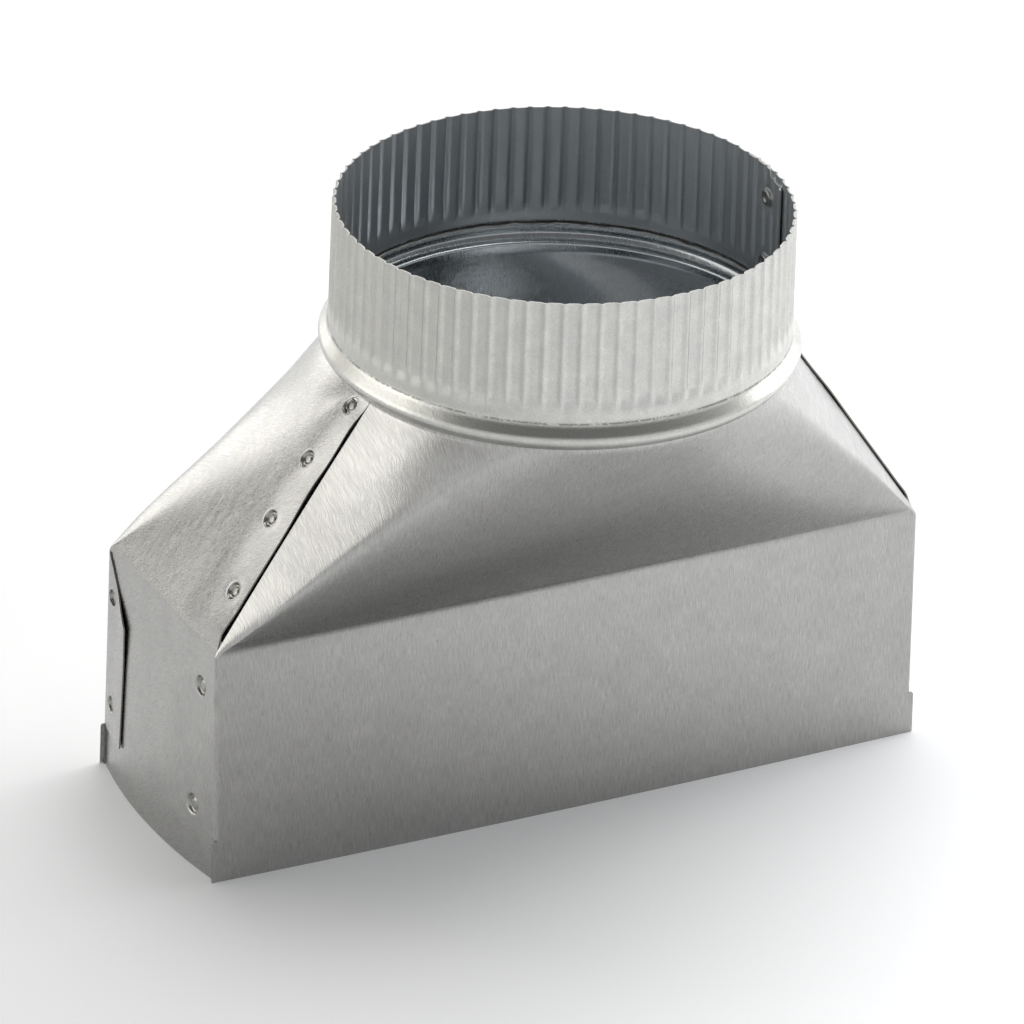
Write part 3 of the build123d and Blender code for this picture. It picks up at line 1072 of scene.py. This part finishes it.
# One dark colour for a broken line along the concave corner at the band's root and for painted shade in the
# press joints' recesses.
collar_line_and_recess_shade = (0.16, 0.155, 0.14, 1)
# The collar's inner side is the same zinc with painted light: bluer and a little lighter than the outer
# side, a painted reflection of the sky inside the shaded collar.
collar_inner_dull_painted_sky = (0.57, 0.597, 0.612, 1)
collar_inner_blue_painted_sky = (0.51, 0.54, 0.556, 1)
# The broken dark line runs round the collar between these heights, in the concave corner at the band's
# root.
band_line_foot = 0.1712
band_line_top = 0.1724
band_line_break_size = 0.009
band_line_break_edges = (0.0, 0.22)
band_line_share = 0.8
collar_cloud_size = 0.006
collar_matt = 0.35
collar_inner_matt = 0.46
collar_gloss = -0.08
collar_recess_shade_share = 0.8
collar_relief = 0.00005
collar_cloud_share = 0.45


def collar_sheet_zinc(name, dull, blue, matt):
    """Duller zinc with a fine mottle, a broken dark line along the concave corner at the band's root, and
    painted shade in the press joints' recesses.
    """
    material, tree, shader = start_material(name)
    place = tree.nodes.new("ShaderNodeTexCoord")
    spots = place.outputs["Object"]
    mottle = place_group(tree, mottle_group, Vector=spots, Cloud_Size=collar_cloud_size)
    clouds = maths(tree, "MULTIPLY", mottle.outputs["Mottle"], 1 - collar_cloud_share)
    clouds = maths(tree, "MULTIPLY_ADD", mottle.outputs["Clouds"], collar_cloud_share, clouds)
    tint = blend_colour(tree, clouds, blue, dull)
    height = parts_of(tree, spots)[2]
    middle = (band_line_foot + band_line_top) / 2
    above = ramp(tree, height, band_line_foot, middle)
    below = ramp(tree, height, middle, band_line_top, 1.0, 0.0)
    line_breaks = place_group(tree, mottle_group, Vector=spots, Cloud_Size=band_line_break_size)
    broken = maths(tree, "MULTIPLY", line_breaks.outputs["Mottle"], line_breaks.outputs["Clouds"])
    line = maths(tree, "MULTIPLY", above, below)
    line = maths(tree, "MULTIPLY", line, ramp(tree, broken, *band_line_break_edges))
    line = maths(tree, "MULTIPLY", line, band_line_share)
    # The band-root line and the painted shade of the press joints share one dark colour.
    line_and_shade = maths(tree, "MAXIMUM", line, recess_shade_mask(tree, collar_recess_shade_share))
    link(tree, blend_colour(tree, line_and_shade, tint, collar_line_and_recess_shade), shader.inputs["Base Color"])
    shader.inputs["Metallic"].default_value = 1.0
    link(tree, maths(tree, "MULTIPLY_ADD", clouds, collar_gloss, matt), shader.inputs["Roughness"])
    add_relief(tree, shader, mottle.outputs["Mottle"], strength=0.4, depth=collar_relief)
    return material


collar_zinc = collar_sheet_zinc("dull_galvanised_sheet", dull_zinc, blue_zinc, collar_matt)
collar_inner_painted_sky_zinc = collar_sheet_zinc(
    "collar_inner_side_painted_sky", collar_inner_dull_painted_sky, collar_inner_blue_painted_sky, collar_inner_matt
)

map_grain(collar_mesh, inner_end + full_turn, lambda p: p.x, lambda p: p.z)
inner_count = len(inner_end)
draft_mesh = bpy.data.meshes.new("collar_draft")
bmesh.ops.remove_doubles(collar_mesh, verts=collar_mesh.verts, dist=merge_distance * mm)
collar_mesh.to_mesh(draft_mesh)
collar_mesh.free()
draft = add_object("collar_draft", draft_mesh)
tool = draft.modifiers.new("crimps", "NODES")
tool.node_group = crimping_tool()
for item in tool.node_group.interface.items_tree:
    if item.item_type == "SOCKET" and item.in_out == "INPUT" and item.name == "Material":
        tool[item.identifier] = collar_zinc
collar_mesh = bmesh.new()
collar_mesh.from_mesh(worked_mesh(draft))
collar_mesh.faces.ensure_lookup_table()
lap_out = Vector((cos(radians(lap_joint_angle)), sin(radians(lap_joint_angle)), 0))
inner_layer = collar_mesh.faces[:inner_count]
outer_layer = collar_mesh.faces[inner_count:]
pad_radius = rim_radius - joint_pad_sink
for height in lap_joint_heights:
    spot = neck_point(lap_joint_angle, rim_radius, height)
    for faces, radius in ((inner_layer, pad_radius - lap), (outer_layer, pad_radius)):
        for vert in {v for f in faces for v in f.verts}:
            away = (vert.co / mm - spot).length
            level = Vector((0, neck_y * mm, vert.co.z))
            flat = level + (vert.co - level).normalized() * radius * mm
            vert.co = vert.co.lerp(flat, 1 - soft_step(away, *joint_pad))
    outer_layer = press_joint(collar_mesh, outer_layer, spot, lap_out)
    inner_layer = press_joint(collar_mesh, inner_layer, spot - lap_out * lap, lap_out)
collar = finish_sheet(collar_mesh, "collar_strip", [collar_zinc, collar_inner_painted_sky_zinc])
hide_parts("collar")
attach(collar, "root")

# Floor, light and camera: a pale floor that glows less near the part, a white room
# with a grey ceiling and one grey gap, softboxes to the left, behind, above and to
# the right, and the camera where the photographer stood.
floor_size = 6.0
floor_white = (0.9, 0.9, 0.9, 1)
floor_glow = (0.97, 0.995, 1.03, 1)
near_lift = 0.155
far_lift = 0.62
near_floor = 0.5
far_floor = 0.95
dim_floor = (-0.35, 0.35, 0)
ambient_light = 0.12
ceiling = (0.17, 0.17, 0.17, 1)
ceiling_edges = (0.25, 0.65)
gap_direction = (-0.52, 0.84, 0.2)
gap_edges = (0.945, 0.988, 0.0, 0.9)


def seen_share(tree):
    """1 for what the camera sees, also in a reflection, and 0 for the light cast on things."""
    path = tree.nodes.new("ShaderNodeLightPath")
    seen = maths(tree, "MAXIMUM", path.outputs["Is Camera Ray"], path.outputs["Is Transmission Ray"])
    return maths(tree, "MAXIMUM", seen, path.outputs["Is Glossy Ray"])


floor_mesh = bpy.data.meshes.new("floor")
square = ((-1, -1), (1, -1), (1, 1), (-1, 1))
corners = [(x * floor_size, y * floor_size, 0) for x, y in square]
floor_mesh.from_pydata(corners, [], [(0, 1, 2, 3)])
floor = add_object("floor", floor_mesh)
floor_paint, tree, shader = start_material("pale_floor")
shader.inputs["Base Color"].default_value = floor_white
shader.inputs["Roughness"].default_value = 0.9
shader.inputs["Emission Color"].default_value = floor_glow
place = tree.nodes.new("ShaderNodeTexCoord")
distance = vector_maths(tree, "DISTANCE", place.outputs["Object"], dim_floor)
floor_lift = ramp(tree, distance.outputs["Value"], near_floor, far_floor, near_lift, far_lift)
glow = maths(tree, "MULTIPLY", seen_share(tree), floor_lift)
link(tree, glow, shader.inputs["Emission Strength"])
floor_mesh.materials.append(floor_paint)

world = bpy.data.worlds.new("studio")
world.use_nodes = True
bpy.context.scene.world = world
tree = world.node_tree
ambient = tree.nodes["Background"]
ambient.inputs["Color"].default_value = (1, 1, 1, 1)
ambient.inputs["Strength"].default_value = ambient_light
white = tree.nodes.new("ShaderNodeBackground")
white.inputs["Strength"].default_value = 1.0
sky = tree.nodes.new("ShaderNodeTexCoord").outputs["Generated"]
above = ramp(tree, parts_of(tree, sky)[2], *ceiling_edges)
gap = vector_maths(tree, "DOT_PRODUCT", sky, Vector(gap_direction).normalized())
dark = maths(tree, "MAXIMUM", above, ramp(tree, gap.outputs["Value"], *gap_edges))
link(tree, blend_colour(tree, dark, (1, 1, 1, 1), ceiling), white.inputs["Color"])
both = tree.nodes.new("ShaderNodeMixShader")
link(tree, seen_share(tree), both.inputs["Fac"])
tree.links.new(ambient.outputs[0], both.inputs[1])
tree.links.new(white.outputs[0], both.inputs[2])
tree.links.new(both.outputs[0], tree.nodes["World Output"].inputs["Surface"])


warm_white = (1, 0.98, 0.92)
lamp_target = (0, 0, 0.1)


def softbox(name, place, width, height, power, colour=(1, 1, 1)):
    """Area lamp that looks at the part's middle."""
    lamp = bpy.data.lights.new(name, "AREA")
    lamp.shape = "RECTANGLE"
    lamp.size = width
    lamp.size_y = height
    lamp.energy = power
    lamp.color = colour
    aim = (Vector(lamp_target) - Vector(place)).to_track_quat("-Z", "Y")
    add_object(name, lamp).matrix_world = Matrix.Translation(place) @ aim.to_matrix().to_4x4()


softbox("left_softbox", (-1.62, 0.82, 0.8), width=1.7, height=1.4, power=11.4, colour=warm_white)
softbox("back_softbox", (-0.35, 2.0, 0.45), width=1.3, height=0.8, power=5.4, colour=warm_white)
softbox("top_softbox", (0.5, 0.35, 1.35), width=1.4, height=1.2, power=17)
softbox("right_softbox", (1.6, 0.1, 0.52), width=0.8, height=0.7, power=9)

view_azimuth = -27.51
view_elevation = 27.22
view_roll = 2.0
view_distance = 2983.1
view_shift = (-1.8, -9.85)
view_target = Vector((0, 0, 100))
focal_pixels = 9000.0
photo_pixels = 1024.0
film_width = 36.0

turn = radians(view_azimuth)
lift = radians(view_elevation)
back = Vector((sin(turn) * cos(lift), -cos(turn) * cos(lift), sin(lift)))
level = back.cross(Vector((0, 0, -1))).normalized()
upright = back.cross(level)
roll = radians(view_roll)
right = level * cos(roll) + upright * sin(roll)
up = upright * cos(roll) - level * sin(roll)
camera_data = bpy.data.cameras.new("camera")
camera_data.sensor_width = film_width
camera_data.lens = focal_pixels / photo_pixels * film_width
camera = add_object("camera", camera_data)
where = (view_target + back * view_distance + right * view_shift[0] + up * view_shift[1]) * mm
camera.matrix_world = Matrix.Translation(where) @ Matrix((right, up, back)).transposed().to_4x4()
bpy.context.scene.camera = camera
bpy.context.scene.view_settings.view_transform = "Standard"
